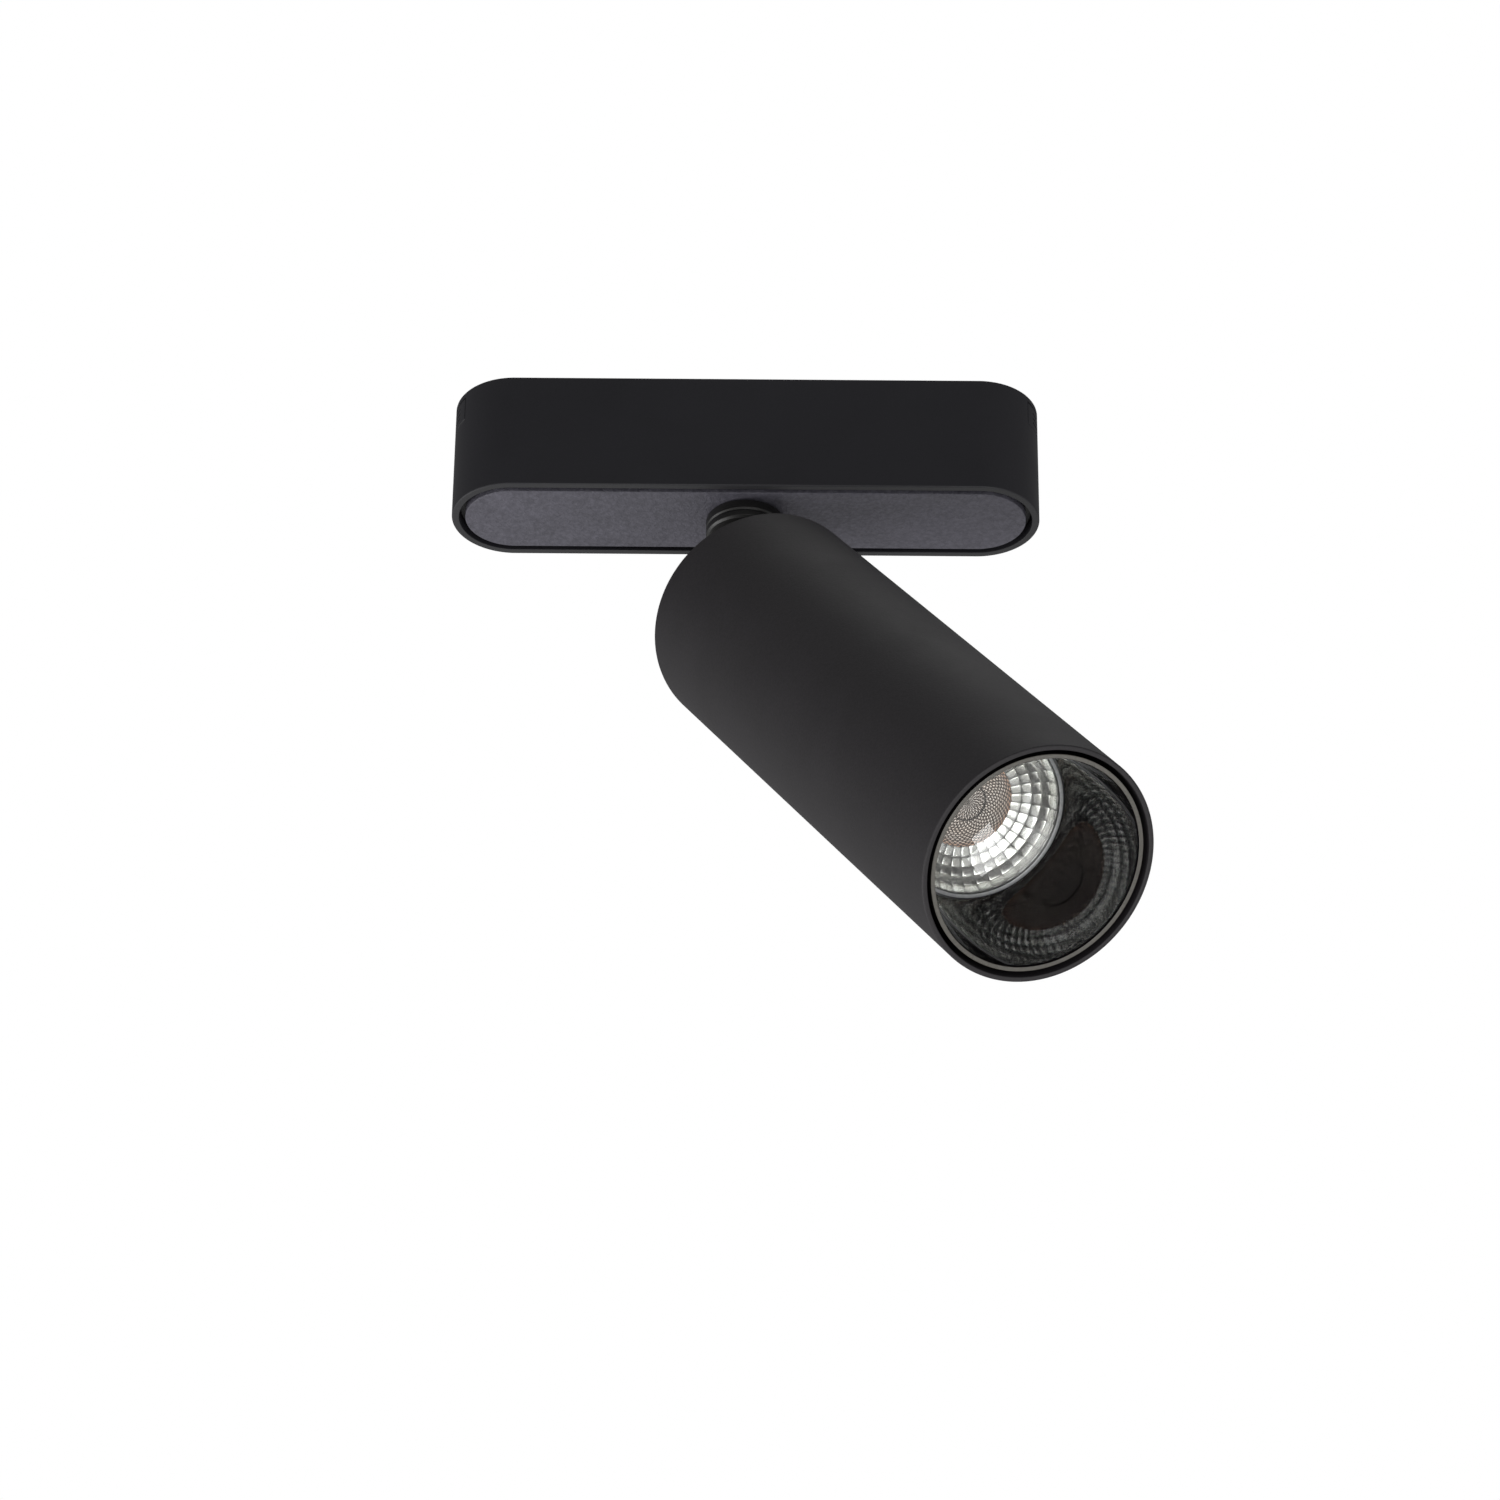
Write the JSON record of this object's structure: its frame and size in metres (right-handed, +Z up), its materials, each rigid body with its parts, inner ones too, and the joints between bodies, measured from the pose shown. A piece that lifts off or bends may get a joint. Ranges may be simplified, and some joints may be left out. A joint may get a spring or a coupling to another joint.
{
  "type": "track spotlight",
  "caption": "Cylindrical track spotlight with a deep black baffle on a tilting and swivelling neck under a slim round-ended driver box for a low-voltage track.",
  "frame": {"origin": "centre of the driver box's top face, which lies against the track", "axes": "+Z up towards the track, +X along the track and the box's length, the lamp points down towards -Y and +X at rest"},
  "size_m": [0.1621, 0.1328, 0.2086],
  "materials": {
    "satin_black": "smooth satin anodised black",
    "powder_black": "fine matte powder coat",
    "plate_grey": "fine textured black powder coat that reads grey in the light",
    "moulded_black": "moulded black plastic",
    "cable_black": "smooth cable sheath",
    "wire_red": "smooth wire insulation",
    "magnet_nickel": "nickel plate",
    "steel": "zinc plated steel",
    "black_steel": "blackened steel",
    "brass": "gold plated brass",
    "bare_aluminium": "extruded, as machined",
    "board_green": "solder mask",
    "board_white": "white solder mask",
    "nylon_white": "moulded nylon",
    "phosphor": "yellow phosphor under silicone",
    "pad_grey": "thermal pad",
    "clear_optic": "clear moulded optic with facets",
    "gloss_black": "polished black plastic"
  },
  "bodies": {
    "driver_box": {"housing": "satin_black", "bottom_plate": "plate_grey", "inner_frame": "moulded_black", "top_cover": "moulded_black", "magnet_left": "magnet_nickel", "magnet_right": "magnet_nickel", "contact_block": "moulded_black", "contact_board": "board_green", "driver_board": "board_green", "transformer": "moulded_black", "driver_chip": "moulded_black", "input_connector": "nylon_white", "output_connector": "nylon_white", "capacitor": "bare_aluminium", "stop_pin": "steel", "cover_screw_left": "steel", "cover_screw_right": "steel", "plate_screw_left": "steel", "plate_screw_right": "steel", "tab_spring_left": "steel", "tab_spring_right": "steel", "supply_wire_left": "cable_black", "supply_wire_right": "wire_red", "contact_spring_1": "steel", "contact_spring_2": "steel", "contact_spring_3": "steel", "contact_spring_4": "steel", "box_cable": "cable_black"},
    "neck": {"swivel_neck": "satin_black", "slide_washer": "nylon_white", "stop_washer": "steel", "neck_nut": "steel", "pivot_screw": "black_steel", "pivot_nut": "black_steel", "pivot_washer_near": "steel", "pivot_washer_far": "steel", "neck_cable": "cable_black"},
    "head": {"head_tube": "powder_black", "rear_cap": "powder_black", "heat_sink": "bare_aluminium", "thermal_pad": "pad_grey", "led_board": "board_white", "led_emitter": "phosphor", "led_holder": "nylon_white", "optic": "clear_optic", "optic_seat": "moulded_black", "baffle": "gloss_black", "head_cable": "cable_black", "tie_screw_left": "black_steel", "tie_screw_right": "black_steel", "holder_screw_left": "steel", "holder_screw_right": "steel"},
    "left_tab": {"release_tab_left": "satin_black"},
    "right_tab": {"release_tab_right": "satin_black"},
    "contact_1": {"contact_pin_1": "brass"},
    "contact_2": {"contact_pin_2": "brass"},
    "contact_3": {"contact_pin_3": "brass"},
    "contact_4": {"contact_pin_4": "brass"}
  },
  "joints": [
    {"name": "swivel", "type": "hinge", "parent": "driver_box", "child": "neck", "pos_m": [0, 0, -0.0575], "axis": [0, 0, 1], "range_deg": [-168, 168]},
    {"name": "tilt", "type": "hinge", "parent": "neck", "child": "head", "pos_m": [0, 0, -0.0575], "axis": [-0.8197, -0.5729, 0], "range_deg": [-41.4, 35.5]},
    {"name": "left_tab_press", "type": "slide", "parent": "driver_box", "child": "left_tab", "axis": [1, 0, 0], "range_m": [0, 0.0015], "stiffness_N_per_m": 600, "springref_m": -0.001, "deforming": ["tab_spring_left"]},
    {"name": "right_tab_press", "type": "slide", "parent": "driver_box", "child": "right_tab", "axis": [-1, 0, 0], "range_m": [0, 0.0015], "stiffness_N_per_m": 600, "springref_m": -0.001, "deforming": ["tab_spring_right"]},
    {"name": "contact_1_press", "type": "slide", "parent": "driver_box", "child": "contact_1", "axis": [0, 0, -1], "range_m": [0, 0.0015], "stiffness_N_per_m": 400, "springref_m": -0.0008, "deforming": ["contact_spring_1"]},
    {"name": "contact_2_press", "type": "slide", "parent": "driver_box", "child": "contact_2", "axis": [0, 0, -1], "range_m": [0, 0.0015], "stiffness_N_per_m": 400, "springref_m": -0.0008, "deforming": ["contact_spring_2"]},
    {"name": "contact_3_press", "type": "slide", "parent": "driver_box", "child": "contact_3", "axis": [0, 0, -1], "range_m": [0, 0.0015], "stiffness_N_per_m": 400, "springref_m": -0.0008, "deforming": ["contact_spring_3"]},
    {"name": "contact_4_press", "type": "slide", "parent": "driver_box", "child": "contact_4", "axis": [0, 0, -1], "range_m": [0, 0.0015], "stiffness_N_per_m": 400, "springref_m": -0.0008, "deforming": ["contact_spring_4"]}
  ]
}
